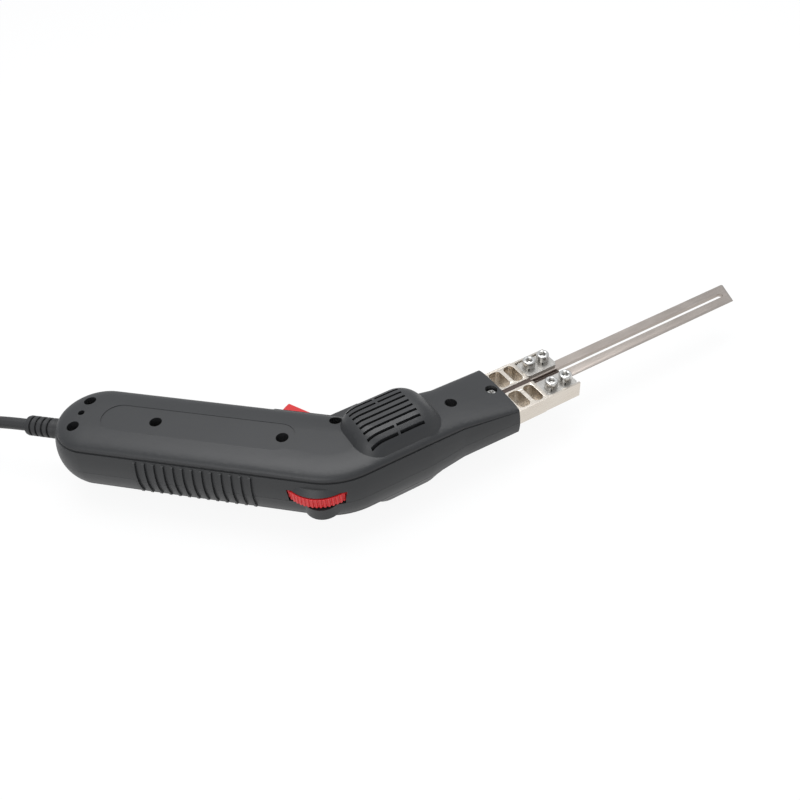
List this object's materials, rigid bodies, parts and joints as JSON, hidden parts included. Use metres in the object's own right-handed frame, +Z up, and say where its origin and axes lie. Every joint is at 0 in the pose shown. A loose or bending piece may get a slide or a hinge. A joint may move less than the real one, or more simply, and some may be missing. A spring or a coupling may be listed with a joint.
{
  "type": "electric hot knife",
  "caption": "Hand held electric hot knife for cutting foam and rope: a bent plastic handle with a red trigger, plated terminal bars and a slotted hot blade.",
  "frame": {"origin": "on the standing surface, under the middle of the flat of the head's lower hump", "axes": "+X along the blade towards its tip, +Y towards the trigger side, +Z up out of the standing surface; the tool lies on its side"},
  "size_m": [0.5867, 0.2206, 0.0498],
  "materials": {
    "housing": "fine spark eroded satin black",
    "bezel": "satin black",
    "trigger_red": "semi gloss red",
    "wheel_red": "satin red",
    "nickel": "nickel plated, lightly brushed",
    "nickel_steel": "bright zinc plated",
    "steel": "plain steel",
    "blade_steel": "ground steel, slightly heat tinted",
    "core_steel": "varnished laminations",
    "bobbin_nylon": "natural nylon",
    "enamelled_copper": "enamelled wire",
    "copper": "bare copper",
    "fibre": "dark hard fibre",
    "switch_case": "satin black",
    "pot_case": "drawn can",
    "board_green": "solder mask",
    "aluminium_sink": "extruded",
    "component_black": "moulded",
    "capacitor_case": "moulded case",
    "ferrite": "coated ring",
    "cord_rubber": "soft matt black",
    "lead_brown": "soft insulation",
    "plug_rubber": "moulded soft black",
    "brass_pins": "nickel plated brass"
  },
  "bodies": {
    "housing": {"housing_right": "housing", "housing_left": "housing", "housing_screws": "nickel_steel", "terminal_bar_far": "nickel", "terminal_bar_near": "nickel", "bar_carrier": "fibre", "insulating_strip": "fibre", "clamp_plate_far": "steel", "clamp_plate_near": "steel", "clamp_screws": "nickel_steel", "spring_washers": "steel", "blade": "blade_steel", "transformer_core": "core_steel", "bobbin": "bobbin_nylon", "primary_winding": "enamelled_copper", "secondary_strap": "copper", "strap_screws": "nickel_steel", "trigger_bezel": "bezel", "trigger_pin": "steel", "trigger_spring": "steel", "micro_switch": "switch_case", "potentiometer": "pot_case", "circuit_board": "board_green", "heat_sink": "aluminium_sink", "triac": "component_black", "capacitor": "capacitor_case", "choke": "ferrite", "cord_boot": "cord_rubber", "cord_inner": "cord_rubber", "cord_clamp": "fibre", "cord_clamp_screws": "nickel_steel", "mains_leads": "lead_brown", "cord_run": "cord_rubber", "cord_coil": "cord_rubber", "cord_tail": "cord_rubber", "plug_body": "plug_rubber", "plug_pins": "brass_pins"},
    "trigger": {"trigger": "trigger_red"},
    "plunger": {"switch_plunger": "trigger_red"},
    "thumbwheel": {"thumbwheel": "wheel_red", "pot_shaft": "bobbin_nylon"}
  },
  "joints": [
    {"name": "trigger_press", "type": "hinge", "parent": "housing", "child": "trigger", "pos_m": [-0.02245, 0.03202, 0.0249], "axis": [0, 0, 1], "range_deg": [0, 8], "stiffness_Nm_per_rad": 0.8, "springref_deg": -6.88, "deforming": ["trigger_spring"]},
    {"name": "plunger_slide", "type": "slide", "parent": "housing", "child": "plunger", "axis": [-0.682, -0.7314, 0], "range_m": [0, 0.00185]},
    {"name": "wheel_turn", "type": "hinge", "parent": "housing", "child": "thumbwheel", "pos_m": [-0.03804, 0.00211, 0.0249], "axis": [0, 0, 1], "range_deg": [-140, 140]}
  ],
  "couplings": [
    {"joint": "plunger_slide", "follows": "trigger_press", "m_per_rad": 0.0129}
  ]
}
